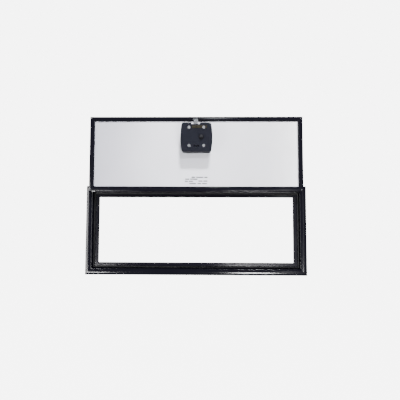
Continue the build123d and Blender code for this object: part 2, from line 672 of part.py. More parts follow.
def spindle_bush_front():
    """Flanged bush round the splined stub: the ring on the cover's face."""
    bush = rod_y(BOX_FRONT, BOX_FRONT + BOX_WALL + 0.3, SPINDLE_X, SPINDLE_Z, 6.0)
    bush += rod_y(BOX_FRONT - 0.8, BOX_FRONT, SPINDLE_X, SPINDLE_Z, 6.9)
    return bush - rod_y(-80.0, -30.0, SPINDLE_X, SPINDLE_Z, FRONT_R + RUN)


def spindle_bush_rear():
    """Flanged bush in the back plate."""
    bush = rod_y(PLATE_FRONT, PLATE_BACK, SPINDLE_X, SPINDLE_Z, 4.5)
    bush += rod_y(PLATE_FRONT - 1.5, PLATE_FRONT, SPINDLE_X, SPINDLE_Z, 6.0)
    return bush - rod_y(-80.0, -30.0, SPINDLE_X, SPINDLE_Z, REAR_R + RUN)


def brake_spring():
    """Coil spring that loads the spindle collar so the operator holds its place."""
    y0 = WHEEL_Y[1] + 1.3 + 0.75
    y1 = PLATE_FRONT - 1.5 - 0.42
    turns = 4.0
    path = Helix(pitch=(y1 - y0) / turns, height=y1 - y0, radius=4.2)
    start = Plane(origin=path @ 0, z_dir=path % 0)
    coil = sweep(start * Circle(0.4), path=path)
    return Pos(SPINDLE_X, y1, SPINDLE_Z) * Rot(90, 0, 0) * coil


# ---------------------------------------------------------------- build
NODES = {
    "frame_head": lambda: frame_member("top"),
    "frame_sill": lambda: frame_member("bottom"),
    "frame_jamb_left": lambda: frame_member("left"),
    "frame_jamb_right": lambda: frame_member("right"),
    "frame_corner_keys": frame_corner_keys,
    "frame_seal": frame_seal,
    "hinge_leaf_frame": hinge_leaf_frame,
    "hinge_leaf_sash": hinge_leaf_sash,
    "hinge_rod": hinge_rod,
    "hinge_end_caps": hinge_end_caps,
    "hinge_rivets_frame": hinge_rivets_frame,
    "hinge_rivets_sash": hinge_rivets_sash,
    "sash_rail_free": lambda: sash_member("top"),
    "sash_rail_hinge": lambda: sash_member("bottom"),
    "sash_stile_left": lambda: sash_member("left"),
    "sash_stile_right": lambda: sash_member("right"),
    "sash_corner_keys": sash_corner_keys,
    "sash_corner_rivets": sash_corner_rivets,
    "glass_pane": glass_pane,
    "glazing_gasket": glazing_gasket,
    "bracket": bracket,
    "bracket_screw": bracket_screw,
    "bracket_pin": bracket_pin,
    "rack_bar": rack_bar,
    "idler_gear": idler_gear,
    "idler_axle": idler_axle,
    "spindle": spindle,
    "spindle_bush_front": spindle_bush_front,
    "spindle_bush_rear": spindle_bush_rear,
    "brake_spring": brake_spring,
    "operator_cover": operator_cover,
    "cover_gasket": cover_gasket,
    "operator_back_plate": operator_back_plate,
    "cover_screws": cover_screws,
    "guide_strap": guide_strap,
    "rack_guide_upper": rack_guide_upper,
    "rack_guide_side": rack_guide_side,
    "guide_rivets": guide_rivets,
}

for node, make in NODES.items():
    export_step(Pos(0, -LEG_END, 0) * make(), "parts/" + node + ".step")
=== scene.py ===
import json
from math import cos, radians, sin

import bpy
from bpy.props import FloatProperty, FloatVectorProperty, PointerProperty, StringProperty
from mathutils import Matrix, Vector

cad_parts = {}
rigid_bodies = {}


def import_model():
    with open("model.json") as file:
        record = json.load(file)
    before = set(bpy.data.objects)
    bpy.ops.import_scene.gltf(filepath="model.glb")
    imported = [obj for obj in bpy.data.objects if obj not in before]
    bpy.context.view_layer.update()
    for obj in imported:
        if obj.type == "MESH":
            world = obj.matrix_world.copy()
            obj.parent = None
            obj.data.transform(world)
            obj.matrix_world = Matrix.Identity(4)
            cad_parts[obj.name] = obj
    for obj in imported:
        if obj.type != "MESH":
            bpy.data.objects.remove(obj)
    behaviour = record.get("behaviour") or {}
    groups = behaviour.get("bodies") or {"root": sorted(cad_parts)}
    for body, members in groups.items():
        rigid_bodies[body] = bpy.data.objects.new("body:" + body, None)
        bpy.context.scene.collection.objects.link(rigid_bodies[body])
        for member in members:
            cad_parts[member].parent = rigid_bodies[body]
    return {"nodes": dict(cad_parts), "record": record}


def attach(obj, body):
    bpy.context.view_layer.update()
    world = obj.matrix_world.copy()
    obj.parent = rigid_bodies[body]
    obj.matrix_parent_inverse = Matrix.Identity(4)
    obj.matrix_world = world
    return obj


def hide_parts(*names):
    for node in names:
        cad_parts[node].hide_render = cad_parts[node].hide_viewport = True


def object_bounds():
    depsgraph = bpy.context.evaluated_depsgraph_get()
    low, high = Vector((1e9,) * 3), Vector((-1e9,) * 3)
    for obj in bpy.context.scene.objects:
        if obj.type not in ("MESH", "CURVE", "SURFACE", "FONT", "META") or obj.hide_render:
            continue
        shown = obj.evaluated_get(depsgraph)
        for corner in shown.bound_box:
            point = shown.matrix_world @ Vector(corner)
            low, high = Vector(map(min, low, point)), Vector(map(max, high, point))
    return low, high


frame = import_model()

bl_info = {
    "name": "Window sash with crank",
    "version": (1, 0, 0),
    "blender": (4, 5, 0),
    "location": "3D View > Sidebar > Window Sash",
    "description": "Finishes a top-hinged window sash, its wall frame and its crank operator",
    "category": "Object",
}

CAD_LOW, CAD_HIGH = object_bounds()
MM = 0.001

# finishing of the CAD copies
MERGE_GAP = 0.002 * MM         # corners closer than this are one corner
FLAT_ANGLE = radians(0.05)     # faces within this are one flat face
EDGE_ANGLE = radians(32.0)     # edges sharper than this are rounded
SMOOTH_ANGLE = radians(28.0)   # faces within this shade as one surface

# edge rounds of the small pieces
BRACKET_SCREW_ROUND = 0.06 * MM
COVER_SCREW_ROUND = 0.08 * MM
RACK_BAR_ROUND = 0.1 * MM
STRAP_ROUND = 0.12 * MM
SPINDLE_ROUND = 0.05 * MM
BUSH_ROUND = 0.12 * MM

# studio sweep, in metres
SWEEP_DEPTH = 8.0
SWEEP_STRETCH = 6.0            # its width over its depth
SWEEP_MIDDLE = 0.3             # middle of the floor, behind the frame
SWEEP_RISE = 8.0
COVE_WIDTH = 1.5
COVE_STEPS = 16

ROOM_TINT = (0.92, 0.95, 1.0, 1.0)
SENSOR_WIDTH = 36.0            # mm
LENS_SHIFT = (0.0087, -0.0021)

# Lamps: name, watts, width, height, position, aimed at, shows in reflections
LAMPS = (
    ("FrontLow", 15.0, 0.3, 0.22, (0.3, -1.65, 0.6), (0.0, 0.0, 0.2), False),
    ("FrontHigh", 60.0, 0.26, 0.2, (0.2, -1.2, 1.4), (0.0, 0.0, 0.2), False),
    ("SoftLeft", 19.0, 0.6, 0.95, (-1.62, -1.18, -0.18), (-0.31, 0.0, -0.18), True),
    ("StripLeft", 0.9, 0.06, 0.6, (-1.06, -1.2, -0.2), (-0.31, 0.0, -0.1), True),
    ("GlintLeft", 8.0, 0.4, 0.12, (-1.0, -1.2, -0.6), (-0.2, 0.0, -0.1), True),
    ("SoftRight", 0.4, 0.1, 0.6, (0.74, -1.2, -0.12), (0.28, 0.0, 0.0), True),
    ("GlintLow", 17.0, 0.3, 0.1, (0.48, -1.2, -0.61), (0.15, 0.0, -0.12), True),
    ("GlintHigh", 1.0, 0.2, 0.2, (0.16, -1.2, 0.9), (0.0, 0.0, 0.25), True),
    ("BackSoft", 14.0, 1.6, 1.0, (-0.9, 1.9, 0.7), (0.0, 0.0, 0.0), True),
)

# Bars of the etched mark: left, right, height up the mark, as shares of its width and height
MARK_BARS = (
    (0.3, 0.46, 0.93), (0.5, 0.82, 0.93), (0.86, 1.0, 0.93),
    (0.02, 0.2, 0.68), (0.24, 0.56, 0.68),
    (0.0, 0.14, 0.38), (0.18, 0.36, 0.38), (0.6, 0.78, 0.42), (0.82, 1.0, 0.42),
    (0.2, 0.5, 0.08), (0.56, 0.72, 0.08), (0.76, 0.98, 0.08),
)
BAR_THICKNESS = 0.02 * MM
BAR_HEIGHT_SHARE = 0.12
BAR_ROUND_SHARE = 0.04


# ------------------------------------------------------------------ sizes and colours
class SashFinishes(bpy.types.PropertyGroup):
    """Colours of the parts, as sRGB hex."""
    powder_coat: StringProperty(name="Powder coat", description="Satin black on the frame", default="#0B0A12")
    sash_coat: StringProperty(name="Sash coat", description="Satin black on the rails", default="#0B0A12")
    rubber: StringProperty(name="Rubber", description="Seals and gaskets", default="#0E0E10")
    cover: StringProperty(name="Cover", description="Moulded operator cover", default="#15161D")
    zinc: StringProperty(name="Zinc plate", description="Bracket, bar and screws", default="#C8CBD2")
    strap: StringProperty(name="Strap", description="Olive passivate on the strap", default="#565246")
    # painted shade and light: the pane's colour runs from greyer at the left stile to near white at the
    # right, a falloff of light across the pane
    glass_shaded_left: StringProperty(name="Glass, left", description="Tint at the left stile", default="#E0E2E4")
    glass_lit_right: StringProperty(name="Glass, right", description="Tint at the right stile", default="#FDFDFE")
    mark: StringProperty(name="Etched mark", description="Enamel mark low on the pane", default="#54565C")


class SashSizes(bpy.types.PropertyGroup):
    """Sizes of the finishing work."""
    edge_round: FloatProperty(name="Edge round", description="Broken edge on the extrusions",
                              default=0.2 * MM, unit="LENGTH")
    hardware_round: FloatProperty(name="Hardware round", description="Tumbled edge on small hardware",
                                  default=0.15 * MM, unit="LENGTH")
    cover_round: FloatProperty(name="Cover round", description="Extra round on the cover's small edges",
                               default=0.3 * MM, unit="LENGTH")
    film_share: FloatProperty(name="Film share", description="Share of the pane's look that is film",
                              default=0.94, min=0.0, max=1.0)
    mark_x: FloatProperty(name="Mark across", description="Middle of the etched mark",
                          default=1.2 * MM, unit="LENGTH")
    mark_z: FloatProperty(name="Mark height above origin", description="Middle of the etched mark",
                          default=142.5 * MM, unit="LENGTH")
    mark_width: FloatProperty(name="Mark width", description="Width of the etched mark",
                              default=64 * MM, unit="LENGTH")
    mark_height: FloatProperty(name="Mark height", description="Height of the etched mark",
                               default=21 * MM, unit="LENGTH")


class StageSettings(bpy.types.PropertyGroup):
    """Camera, floor and lamps."""
    camera_at: FloatVectorProperty(name="Camera", description="Camera position", size=3,
                                   default=(0.0083, -0.628, 0.0689), subtype="XYZ", unit="LENGTH")
    lens: FloatProperty(name="Lens", description="Focal length in millimetres", default=18.56)
    yaw: FloatProperty(name="Yaw", description="Turn to the right", default=-0.01, subtype="ANGLE")
    pitch: FloatProperty(name="Pitch", description="Tilt upwards", default=0.036, subtype="ANGLE")
    roll: FloatProperty(name="Roll", description="Roll about the line of sight", default=-0.003,
                        subtype="ANGLE")
    floor_drop: FloatProperty(name="Floor drop", description="Floor below the frame", default=0.55,
                              unit="LENGTH")
    paper_glow: FloatProperty(name="Paper glow", description="Light through the backlit sweep", default=6.5)
    room_light: FloatProperty(name="Room light", description="Light from the dim room", default=0.12)


# ------------------------------------------------------------------ small tools
def linear(hex_colour):
    """sRGB hex to a linear colour with alpha 1."""
    code = hex_colour.lstrip("#")
    parts = [int(code[i:i + 2], 16) / 255 for i in (0, 2, 4)]
    return [c / 12.92 if c <= 0.04045 else ((c + 0.055) / 1.055) ** 2.4 for c in parts] + [1.0]


def add(tree, kind, links=(), **settings):
    """Add a node. A setting that names a property sets it, one that names an input sets its value.
    Links are (input, node, output)."""
    node = tree.nodes.new(kind)
    for key, value in settings.items():
        plain = key.replace("_", " ")
        match = [s for s in node.inputs if s.name.lower() == plain.lower() and s.enabled]
        if hasattr(node, key):
            setattr(node, key, value)
        elif match:
            match[0].default_value = value
        else:
            raise RuntimeError(kind + " has no " + key)
    for socket, source, output in links:
        tree.links.new(source.outputs[output], node.inputs[socket])
    return node


def new_material(name):
    """An empty node material and its tree."""
    material = bpy.data.materials.new(name)
    material.use_nodes = True
    material.node_tree.nodes.clear()
    return material, material.node_tree


def per_mm(size):
    """Noise scale for a pattern of that size in millimetres, on coordinates in metres."""
    return 1000.0 / size


def settings():
    return bpy.context.scene.sash_finishes, bpy.context.scene.sash_sizes, bpy.context.scene.sash_stage


def only(obj):
    """Make obj the one selected and active object."""
    if bpy.context.object and bpy.context.object.mode != "OBJECT":
        bpy.ops.object.mode_set(mode="OBJECT")
    bpy.ops.object.select_all(action="DESELECT")
    obj.select_set(True)
    bpy.context.view_layer.objects.active = obj


def body_of(node):
    """The body a CAD node belongs to."""
    for body, nodes in frame["record"]["behaviour"]["bodies"].items():
        if node in nodes:
            return body
    raise RuntimeError("no body holds " + node)


def paint(obj, material):
    """Give obj one material."""
    obj.data.materials.clear()
    obj.data.materials.append(material)


def paint_node(node, material):
    """Put a material in a CAD node's slots."""
    obj = frame["nodes"][node]
    if not obj.material_slots:
        obj.data.materials.append(material)
    for place in obj.material_slots:
        place.link = "OBJECT"
        place.material = material


def ride_in_place(obj, node):
    """Let obj stand for a CAD node, on that node's body."""
    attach(obj, body_of(node))
    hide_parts(node)


def broken_edges(node, name, width, material):
    """A merged copy of a CAD node with its sharp edges rounded off, standing for the node."""
    only(frame["nodes"][node])
    bpy.ops.object.duplicate()
    piece = bpy.context.object
    bpy.ops.object.parent_clear(type="CLEAR_KEEP_TRANSFORM")
    piece.name = name
    piece.data.name = name
    bpy.ops.object.mode_set(mode="EDIT")
    bpy.ops.mesh.select_all(action="SELECT")
    bpy.ops.mesh.remove_doubles(threshold=MERGE_GAP)
    bpy.ops.mesh.dissolve_limited(angle_limit=FLAT_ANGLE)
    bpy.ops.object.mode_set(mode="OBJECT")
    bevel = piece.modifiers.new("Edge", "BEVEL")
    bevel.width = width
    bevel.segments = 2
    bevel.limit_method = "ANGLE"
    bevel.angle_limit = EDGE_ANGLE
    bevel.miter_outer = "MITER_ARC"
    bevel.use_clamp_overlap = True
    bpy.ops.object.modifier_apply(modifier=bevel.name)
    bpy.ops.object.shade_smooth_by_angle(angle=SMOOTH_ANGLE)
    # the broad faces stay flat in shading and only the rounded edges turn
    flat = piece.modifiers.new("Flat faces", "WEIGHTED_NORMAL")
    flat.weight = 100
    flat.keep_sharp = True
    bpy.ops.object.modifier_apply(modifier=flat.name)
    paint(piece, material)
    ride_in_place(piece, node)
    return piece


# ------------------------------------------------------------------ materials
def powder_coated_aluminium(name, colour, rough):
    """Powder coat sprayed and baked on extruded aluminium: satin black with a fine orange peel
    that breaks the edge of a reflection, and a faint cloud of settled dust."""
    material, tree = new_material(name)
    place = add(tree, "ShaderNodeTexCoord")
    # orange peel: 0.9 mm cells
    peel = add(tree, "ShaderNodeTexNoise", [("Vector", place, "Object")], Scale=per_mm(0.9), Detail=2.0)
    # dust cloud: patches of about 60 mm
    cloud = add(tree, "ShaderNodeTexNoise", [("Vector", place, "Object")], Scale=per_mm(60), Detail=5.0)
    dust = add(tree, "ShaderNodeMapRange", [("Value", cloud, "Fac")], From_Min=0.45, From_Max=0.75,
               To_Max=0.015)
    tint = add(tree, "ShaderNodeMix", [("Factor", dust, "Result")], data_type="RGBA")
    tint.inputs[6].default_value = linear(colour)
    tint.inputs[7].default_value = linear("#4A4C52")
    polish = add(tree, "ShaderNodeMapRange", [("Value", cloud, "Fac")], To_Min=rough - 0.05,
                 To_Max=rough + 0.08)
    bump = add(tree, "ShaderNodeBump", [("Height", peel, "Fac")], Strength=0.01, Distance=0.00001)
    shader = add(tree, "ShaderNodeBsdfPrincipled", [("Base Color", tint, 2), ("Roughness", polish, "Result"),
                                                   ("Normal", bump, "Normal")], IOR=1.5)
    add(tree, "ShaderNodeOutputMaterial", [("Surface", shader, "BSDF")])
    return material


def epdm_rubber(name, colour):
    """Extruded EPDM rubber: deep matt black with drawn lines and a slight grey bloom."""
    material, tree = new_material(name)
    place = add(tree, "ShaderNodeTexCoord")
    # extrusion grain: 0.25 mm
    grain = add(tree, "ShaderNodeTexNoise", [("Vector", place, "Object")], Scale=per_mm(0.25), Detail=2.0)
    bloom = add(tree, "ShaderNodeTexNoise", [("Vector", place, "Object")], Scale=per_mm(14), Detail=4.0)
    amount = add(tree, "ShaderNodeMapRange", [("Value", bloom, "Fac")], From_Min=0.5, From_Max=0.8,
                 To_Max=0.12)
    tint = add(tree, "ShaderNodeMix", [("Factor", amount, "Result")], data_type="RGBA")
    tint.inputs[6].default_value = linear(colour)
    tint.inputs[7].default_value = linear("#4A4B4E")
    bump = add(tree, "ShaderNodeBump", [("Height", grain, "Fac")], Strength=0.25, Distance=0.00003)
    shader = add(tree, "ShaderNodeBsdfPrincipled", [("Base Color", tint, 2), ("Normal", bump, "Normal")],
                 Roughness=0.72, IOR=1.52)
    add(tree, "ShaderNodeOutputMaterial", [("Surface", shader, "BSDF")])
    return material


def spark_textured_nylon(name, colour, rough=0.58):
    """Glass-filled nylon moulded in a spark-eroded tool: charcoal with an even fine grain."""
    material, tree = new_material(name)
    place = add(tree, "ShaderNodeTexCoord")
    # spark grain is near 0.1 mm; drawn at 0.45 mm so that it shows
    grain = add(tree, "ShaderNodeTexNoise", [("Vector", place, "Object")], Scale=per_mm(0.45), Detail=3.0)
    flow = add(tree, "ShaderNodeTexNoise", [("Vector", place, "Object")], Scale=per_mm(22), Detail=4.0)
    shade = add(tree, "ShaderNodeMapRange", [("Value", flow, "Fac")], From_Min=0.3, From_Max=0.7,
                To_Max=0.16)
    tint = add(tree, "ShaderNodeMix", [("Factor", shade, "Result")], data_type="RGBA")
    tint.inputs[6].default_value = linear(colour)
    tint.inputs[7].default_value = linear("#2A2B33")
    polish = add(tree, "ShaderNodeMapRange", [("Value", grain, "Fac")], To_Min=rough - 0.06,
                 To_Max=rough + 0.1)
    bump = add(tree, "ShaderNodeBump", [("Height", grain, "Fac")], Strength=0.35, Distance=0.00006)
    shader = add(tree, "ShaderNodeBsdfPrincipled", [("Base Color", tint, 2), ("Roughness", polish, "Result"),
                                                   ("Normal", bump, "Normal")],
                 IOR=1.45, Specular_IOR_Level=0.2)
    add(tree, "ShaderNodeOutputMaterial", [("Surface", shader, "BSDF")])
    return material


def plated_steel(name, colour, rough, worn, metal=1.0):
    """Zinc-plated or oxide-finished steel: bright grain with slightly duller clouds from plating."""
    material, tree = new_material(name)
    place = add(tree, "ShaderNodeTexCoord")
    # plating spangle: 1.2 mm, rolling scratches 0.2 mm
    spangle = add(tree, "ShaderNodeTexNoise", [("Vector", place, "Object")], Scale=per_mm(1.2), Detail=4.0)
    stretch = add(tree, "ShaderNodeMapping", [("Vector", place, "Object")])
    stretch.inputs["Scale"].default_value = (1.0, 1.0, 0.06)
    scratch = add(tree, "ShaderNodeTexNoise", [("Vector", stretch, "Vector")], Scale=per_mm(0.2), Detail=2.0)
    shade = add(tree, "ShaderNodeMapRange", [("Value", spangle, "Fac")], From_Min=0.35, From_Max=0.7,
                To_Max=0.35)
    tint = add(tree, "ShaderNodeMix", [("Factor", shade, "Result")], data_type="RGBA")
    tint.inputs[6].default_value = linear(colour)
    tint.inputs[7].default_value = linear(worn)
    polish = add(tree, "ShaderNodeMapRange", [("Value", spangle, "Fac")], To_Min=rough - 0.06,
                 To_Max=rough + 0.12)
    bump = add(tree, "ShaderNodeBump", [("Height", scratch, "Fac")], Strength=0.15, Distance=0.00002)
    shader = add(tree, "ShaderNodeBsdfPrincipled", [("Base Color", tint, 2), ("Roughness", polish, "Result"),
                                                   ("Normal", bump, "Normal")], Metallic=metal)
    add(tree, "ShaderNodeOutputMaterial", [("Surface", shader, "BSDF")])
    return material


def float_glass(name, left, right, film_share):
    """Tempered float glass under a thin milky shipping film: pale grey, taking soft shadows on its face, with
    sharp reflections. A painted falloff of light runs across it: greyer towards the left stile, clearing and
    brighter towards the right stile."""
    material, tree = new_material(name)
    place = add(tree, "ShaderNodeTexCoord")
    split = add(tree, "ShaderNodeSeparateXYZ", [("Vector", place, "Object")])
    # position across the pane, from the left stile to the right stile; it drives the painted falloff of light
    # below
    across = add(tree, "ShaderNodeMapRange", [("Value", split, "X")], From_Min=-0.29, From_Max=0.29)
    # film unevenness: patches of about 160 mm
    haze = add(tree, "ShaderNodeTexNoise", [("Vector", place, "Object")], Scale=per_mm(160), Detail=2.0)
    haze_and_light_falloff = add(tree, "ShaderNodeMath", [(0, haze, "Fac"), (2, across, "Result")], operation="MULTIPLY_ADD")
    haze_and_light_falloff.inputs[1].default_value = 0.2
    # painted shade and light: the clear glass runs from a greyer colour at the left stile to near white at
    # the right
    tint = add(tree, "ShaderNodeMix", [("Factor", across, "Result")], data_type="RGBA")
    tint.inputs[6].default_value = linear(left)
    tint.inputs[7].default_value = linear(right)
    # painted light: the film share drops over the last third before the right stile, so more of the bright
    # sweep shows through and the pane brightens there as if lit more strongly from the right; the haze makes
    # this edge uneven
    film_and_light_falloff = add(tree, "ShaderNodeMapRange", [("Value", haze_and_light_falloff, "Value")], interpolation_type="SMOOTHSTEP",
                From_Min=0.72, From_Max=1.2, To_Min=film_share, To_Max=0.35)
    clear = add(tree, "ShaderNodeBsdfPrincipled", [("Base Color", tint, 2)], Roughness=0.0, IOR=1.52,
                Transmission_Weight=1.0)
    # painted shade: the film is greyer over the left third, as if less light fell there
    painted_shade_falloff = add(tree, "ShaderNodeMapRange", [("Value", haze_and_light_falloff, "Value")], interpolation_type="SMOOTHSTEP",
               From_Min=0.05, From_Max=0.5)
    film_colour_and_shade = add(tree, "ShaderNodeMix", [("Factor", painted_shade_falloff, "Result")], data_type="RGBA")
    film_colour_and_shade.inputs[6].default_value = linear("#BCBCC8")
    film_colour_and_shade.inputs[7].default_value = linear("#EFEFF7")
    film = add(tree, "ShaderNodeBsdfDiffuse", [("Color", film_colour_and_shade, 2)])
    gloss = add(tree, "ShaderNodeBsdfGlossy", Roughness=0.05)
    facing = add(tree, "ShaderNodeFresnel", IOR=1.52)
    coated = add(tree, "ShaderNodeMixShader", [(0, facing, "Fac"), (1, film, "BSDF"), (2, gloss, "BSDF")])
    shader = add(tree, "ShaderNodeMixShader",
                 [(0, film_and_light_falloff, "Result"), (1, clear, "BSDF"), (2, coated, "Shader")])
    add(tree, "ShaderNodeOutputMaterial", [("Surface", shader, "Shader")])
    return material


def fired_enamel(name, colour):
    """Ceramic enamel screen-printed and fired on glass: flat grey with a fine speckle."""
    material, tree = new_material(name)
    place = add(tree, "ShaderNodeTexCoord")
    speck = add(tree, "ShaderNodeTexNoise", [("Vector", place, "Object")], Scale=per_mm(0.4), Detail=2.0)
    polish = add(tree, "ShaderNodeMapRange", [("Value", speck, "Fac")], To_Min=0.5, To_Max=0.8)
    shader = add(tree, "ShaderNodeBsdfPrincipled", [("Roughness", polish, "Result")], IOR=1.5, Alpha=0.95)
    shader.inputs["Base Color"].default_value = linear(colour)
    add(tree, "ShaderNodeOutputMaterial", [("Surface", shader, "BSDF")])
    return material


def acetal(name):
    """Moulded acetal: waxy off-white, smooth, a little light passing through."""
    material, tree = new_material(name)
    place = add(tree, "ShaderNodeTexCoord")
    flow = add(tree, "ShaderNodeTexNoise", [("Vector", place, "Object")], Scale=per_mm(6), Detail=3.0)
    polish = add(tree, "ShaderNodeMapRange", [("Value", flow, "Fac")], To_Min=0.3, To_Max=0.45)
    shader = add(tree, "ShaderNodeBsdfPrincipled", [("Roughness", polish, "Result")], IOR=1.48,
                 Subsurface_Weight=0.15, Subsurface_Scale=0.002)
    shader.inputs["Base Color"].default_value = linear("#E6E4DC")
    add(tree, "ShaderNodeOutputMaterial", [("Surface", shader, "BSDF")])
    return material


def backlit_paper(name, glow):
    """White paper sweep lit through from behind: even, shadowless white beyond the object, fading to
    plain lit paper in front of it, with a faint tooth."""
    material, tree = new_material(name)
    place = add(tree, "ShaderNodeTexCoord")
    split = add(tree, "ShaderNodeSeparateXYZ", [("Vector", place, "Object")])
    depth = add(tree, "ShaderNodeMapRange", [("Value", split, "Y")], From_Min=0.0, From_Max=0.19, To_Max=glow)
    # the lit panel ends some 6 m to each side and its light dies away beyond
    side = add(tree, "ShaderNodeMath", [(0, split, "X")], operation="ABSOLUTE")
    fade = add(tree, "ShaderNodeMapRange", [("Value", side, "Value")], interpolation_type="SMOOTHSTEP",
               From_Min=5.0, From_Max=9.0, To_Min=1.0, To_Max=0.05)
    light = add(tree, "ShaderNodeMath", [(0, depth, "Result"), (1, fade, "Result")], operation="MULTIPLY")
    # paper tooth: 3 mm
    tooth = add(tree, "ShaderNodeTexNoise", [("Vector", place, "Object")], Scale=per_mm(3), Detail=2.0)
    polish = add(tree, "ShaderNodeMapRange", [("Value", tooth, "Fac")], To_Min=0.8, To_Max=0.95)
    shader = add(tree, "ShaderNodeBsdfPrincipled", [("Roughness", polish, "Result"),
                                                   ("Emission Strength", light, "Value")])
    shader.inputs["Base Color"].default_value = linear("#6E6E6E")
    shader.inputs["Emission Color"].default_value = linear("#FFFFFF")
    add(tree, "ShaderNodeOutputMaterial", [("Surface", shader, "BSDF")])
    return material


# ------------------------------------------------------------------ pieces
class SASH_OT_wall_frame(bpy.types.Operator):
    """Head, sill and jambs with broken edges in satin powder coat"""
    bl_idname = "sash.wall_frame"
    bl_label = "Wall frame"

    def execute(self, context):
        finishes, sizes, _ = settings()
        coat = powder_coated_aluminium("Satin black powder coat", finishes.powder_coat, 0.15)
        for node, name in (("frame_head", "FrameHead"), ("frame_sill", "FrameSill"),
                           ("frame_jamb_left", "FrameJambLeft"), ("frame_jamb_right", "FrameJambRight")):
            broken_edges(node, name, sizes.edge_round, coat)
        paint_node("frame_corner_keys", plated_steel("Mill finish aluminium", "#B9BBBE", 0.35, "#8F9194"))
        paint_node("frame_seal", epdm_rubber("Extruded rubber seal", finishes.rubber))
        return {"FINISHED"}


class SASH_OT_hinge(bpy.types.Operator):
    """Hinge leaves, rod, caps and rivets"""
    bl_idname = "sash.hinge"
    bl_label = "Hinge"

    def execute(self, context):
        finishes, sizes, _ = settings()
        coat = powder_coated_aluminium("Black powder coat on hinge", finishes.powder_coat, 0.36)
        broken_edges("hinge_leaf_frame", "HingeLeafFrame", sizes.hardware_round, coat)
        broken_edges("hinge_leaf_sash", "HingeLeafSash", sizes.hardware_round, coat)
        paint_node("hinge_rod", plated_steel("Drawn stainless rod", "#B4B6B8", 0.25, "#96989A"))
        paint_node("hinge_end_caps", spark_textured_nylon("Black nylon caps", "#1A1A1C"))
        rivet = plated_steel("Pressed aluminium rivets", "#8B8D91", 0.42, "#6B6D70")
        paint_node("hinge_rivets_frame", rivet)
        paint_node("hinge_rivets_sash", rivet)
        paint_node("sash_corner_rivets", rivet)
        return {"FINISHED"}


class SASH_OT_sash_rails(bpy.types.Operator):
    """Rails and stiles of the sash with their corner keys"""
    bl_idname = "sash.sash_rails"
    bl_label = "Sash rails"

    def execute(self, context):
        finishes, sizes, _ = settings()
        coat = powder_coated_aluminium("Satin black sash coat", finishes.sash_coat, 0.15)
        for node, name in (("sash_rail_free", "SashRailFree"), ("sash_rail_hinge", "SashRailHinge"),
                           ("sash_stile_left", "SashStileLeft"), ("sash_stile_right", "SashStileRight")):
            broken_edges(node, name, sizes.edge_round, coat)
        paint_node("sash_corner_keys", bpy.data.materials["Mill finish aluminium"])
        return {"FINISHED"}


class SASH_OT_glass(bpy.types.Operator):
    """Pane, glazing gasket and the plain etched mark"""
    bl_idname = "sash.glass"
    bl_label = "Glass"

    def execute(self, context):
        finishes, sizes, _ = settings()
        paint_node("glass_pane", float_glass("Filmed float glass", finishes.glass_shaded_left, finishes.glass_lit_right,
                                            sizes.film_share))
        paint_node("glazing_gasket", epdm_rubber("Glazing rubber", finishes.rubber))
        face = frame["nodes"]["glass_pane"].bound_box[0][1]
        bars = []
        for left, right, level in MARK_BARS:
            bpy.ops.object.select_all(action="DESELECT")
            bpy.ops.mesh.primitive_cube_add(size=1.0, location=(
                sizes.mark_x + (0.5 * (left + right) - 0.5) * sizes.mark_width, face - 0.5 * BAR_THICKNESS,
                sizes.mark_z + (level - 0.5) * sizes.mark_height))
            bar = context.object
            bar.scale = ((right - left) * sizes.mark_width, BAR_THICKNESS,
                         BAR_HEIGHT_SHARE * sizes.mark_height)
            bpy.ops.object.transform_apply(location=True, scale=True)
            bars.append(bar)
        only(bars[0])
        for bar in bars:
            bar.select_set(True)
        bpy.ops.object.join()
        mark = context.object
        mark.name = "EtchedMark"
        mark.data.name = "EtchedMark"
        for edge in mark.data.edges:
            low, high = (mark.data.vertices[v].co for v in edge.vertices)
            edge.select = abs(low.y - high.y) > 0.5 * BAR_THICKNESS
        bpy.ops.object.mode_set(mode="EDIT")
        bpy.ops.mesh.select_mode(type="EDGE")
        bpy.ops.mesh.bevel(offset=BAR_ROUND_SHARE * sizes.mark_height, segments=4)
        bpy.ops.object.mode_set(mode="OBJECT")
        bpy.ops.object.origin_set(type="ORIGIN_CURSOR")
        bpy.ops.object.shade_smooth_by_angle(angle=radians(30))
        paint(mark, fired_enamel("Fired enamel mark", finishes.mark))
        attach(mark, "sash")
        return {"FINISHED"}


class SASH_OT_bracket(bpy.types.Operator):
    """Bracket, its screw and pin, and the rack bar"""
    bl_idname = "sash.bracket"
    bl_label = "Bracket and bar"

    def execute(self, context):
        finishes, sizes, _ = settings()
        zinc = plated_steel("Bright zinc plate", finishes.zinc, 0.32, "#A4A7AE")
        broken_edges("bracket", "Bracket", sizes.hardware_round, zinc)
        broken_edges("bracket_screw", "BracketScrew", BRACKET_SCREW_ROUND, zinc)
        paint_node("bracket_pin", plated_steel("Stainless pin", "#B4B6B8", 0.22, "#96989A"))
        broken_edges("rack_bar", "RackBar", RACK_BAR_ROUND, zinc)
        return {"FINISHED"}


class SASH_OT_operator_box(bpy.types.Operator):
    """Cover, back plate, gasket, screws and strap of the crank operator"""
    bl_idname = "sash.operator_box"
    bl_label = "Operator box"

    def execute(self, context):
        finishes, sizes, _ = settings()
        broken_edges("operator_cover", "OperatorCover", sizes.cover_round,
                     spark_textured_nylon("Spark-textured nylon", finishes.cover))
        broken_edges("cover_screws", "CoverScrews", COVER_SCREW_ROUND,
                     plated_steel("Zinc-plated screws", "#E8EAEE", 0.3, "#BEC0C6", 0.9))
        broken_edges("guide_strap", "GuideStrap", STRAP_ROUND,
                     plated_steel("Olive passivated strap", finishes.strap, 0.5, "#3A372E", 0.9))
        paint_node("cover_gasket", epdm_rubber("Cover gasket rubber", finishes.rubber))
        paint_node("operator_back_plate", powder_coated_aluminium("Black dipped plate", "#17181A", 0.4))
        return {"FINISHED"}


